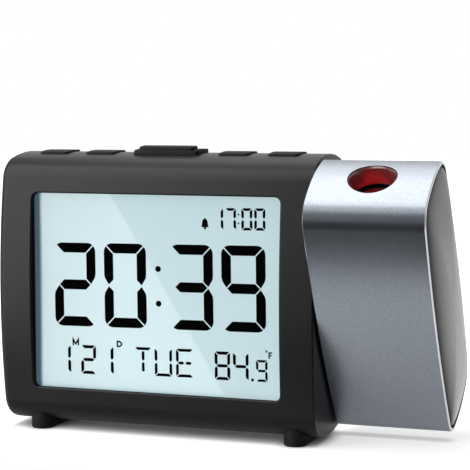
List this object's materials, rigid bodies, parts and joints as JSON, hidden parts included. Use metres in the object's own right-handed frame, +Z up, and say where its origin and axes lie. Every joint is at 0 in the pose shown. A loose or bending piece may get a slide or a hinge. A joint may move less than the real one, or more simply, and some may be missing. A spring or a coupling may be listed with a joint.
{
  "type": "projection alarm clock",
  "caption": "Bedside alarm clock with a large liquid crystal display, top keys and a swivelling metal-sleeved projector arm at its right end, turned forward.",
  "frame": {"origin": "on the table plane, under the arm's pivot axis, midway between the body's left end and the crown of the arm's end cap", "axes": "+X to the clock's right as one reads the display, +Y to its back, +Z up"},
  "size_m": [0.1502, 0.0684, 0.0949],
  "materials": {
    "body_plastic": "satin",
    "key_plastic": "gloss",
    "clear_window": "gloss",
    "display_glass": "satin",
    "light_guide": "satin",
    "white_plastic": "matte",
    "circuit_board": "satin",
    "component_black": "matte",
    "rubber": "matte",
    "screw_steel": "satin",
    "spring_steel": "satin",
    "arm_metal": "satin",
    "cap_plastic": "satin",
    "black_plastic": "satin",
    "led_dome": "gloss",
    "lens_plastic": "gloss"
  },
  "bodies": {
    "clock_body": {"front_housing": "body_plastic", "rear_housing": "body_plastic", "window_lens": "clear_window", "lcd_panel": "display_glass", "light_guide": "light_guide", "display_tray": "white_plastic", "main_board": "circuit_board", "board_parts": "component_black", "key_board": "circuit_board", "key_switches": "component_black", "foot_left": "rubber", "foot_right": "rubber", "housing_screws": "screw_steel", "inner_screws": "screw_steel", "battery_contacts": "spring_steel", "power_socket": "component_black", "buzzer": "component_black", "friction_washer": "spring_steel"},
    "arm": {"arm_sleeve": "arm_metal", "arm_inner_cap": "body_plastic", "arm_end_cap": "cap_plastic", "hub_clip": "spring_steel", "projector_chassis": "black_plastic", "led_board": "circuit_board", "projector_led": "led_dome", "condenser_lens": "lens_plastic", "projector_lcd": "display_glass", "aperture_ring": "black_plastic", "arm_screws": "screw_steel"},
    "focusing_barrel": {"lens_barrel": "black_plastic", "projection_lens": "lens_plastic"},
    "focus_wheel_body": {"focus_wheel": "black_plastic"},
    "battery_lid_body": {"battery_lid": "body_plastic"},
    "snooze_body": {"snooze_key": "key_plastic"},
    "top_key_1_body": {"top_key_1": "key_plastic"},
    "top_key_2_body": {"top_key_2": "key_plastic"},
    "top_key_3_body": {"top_key_3": "key_plastic"},
    "top_key_4_body": {"top_key_4": "key_plastic"}
  },
  "joints": [
    {"name": "arm_swivel", "type": "hinge", "parent": "clock_body", "child": "arm", "pos_m": [0.0349, 0, 0.0471], "axis": [1, 0, 0], "range_deg": [-120.5, 59.5]},
    {"name": "focus_wheel_turn", "type": "hinge", "parent": "arm", "child": "focus_wheel_body", "pos_m": [0.0538, 0.00275, 0.06926], "axis": [0, -0.5075, 0.8616], "range_deg": [-180, 180]},
    {"name": "focus_slide", "type": "slide", "parent": "arm", "child": "focusing_barrel", "axis": [0, -0.5075, 0.8616], "range_m": [-0.001, 0.001]},
    {"name": "battery_lid_hinge", "type": "hinge", "parent": "clock_body", "child": "battery_lid_body", "pos_m": [-0.038, 0.01874, 0.02675], "axis": [-1, 0, 0], "range_deg": [0, 90]},
    {"name": "snooze_press", "type": "slide", "parent": "clock_body", "child": "snooze_body", "axis": [0, 0, -1], "range_m": [0, 0.0005], "stiffness_N_per_m": 400, "springref_m": -0.0005},
    {"name": "top_key_1_press", "type": "slide", "parent": "clock_body", "child": "top_key_1_body", "axis": [0, 0, -1], "range_m": [0, 0.0005], "stiffness_N_per_m": 300, "springref_m": -0.0005},
    {"name": "top_key_2_press", "type": "slide", "parent": "clock_body", "child": "top_key_2_body", "axis": [0, 0, -1], "range_m": [0, 0.0005], "stiffness_N_per_m": 300, "springref_m": -0.0005},
    {"name": "top_key_3_press", "type": "slide", "parent": "clock_body", "child": "top_key_3_body", "axis": [0, 0, -1], "range_m": [0, 0.0005], "stiffness_N_per_m": 300, "springref_m": -0.0005},
    {"name": "top_key_4_press", "type": "slide", "parent": "clock_body", "child": "top_key_4_body", "axis": [0, 0, -1], "range_m": [0, 0.0005], "stiffness_N_per_m": 300, "springref_m": -0.0005}
  ],
  "couplings": [
    {"joint": "focus_wheel_turn", "follows": "focus_slide", "rad_per_m": 3141.6}
  ]
}
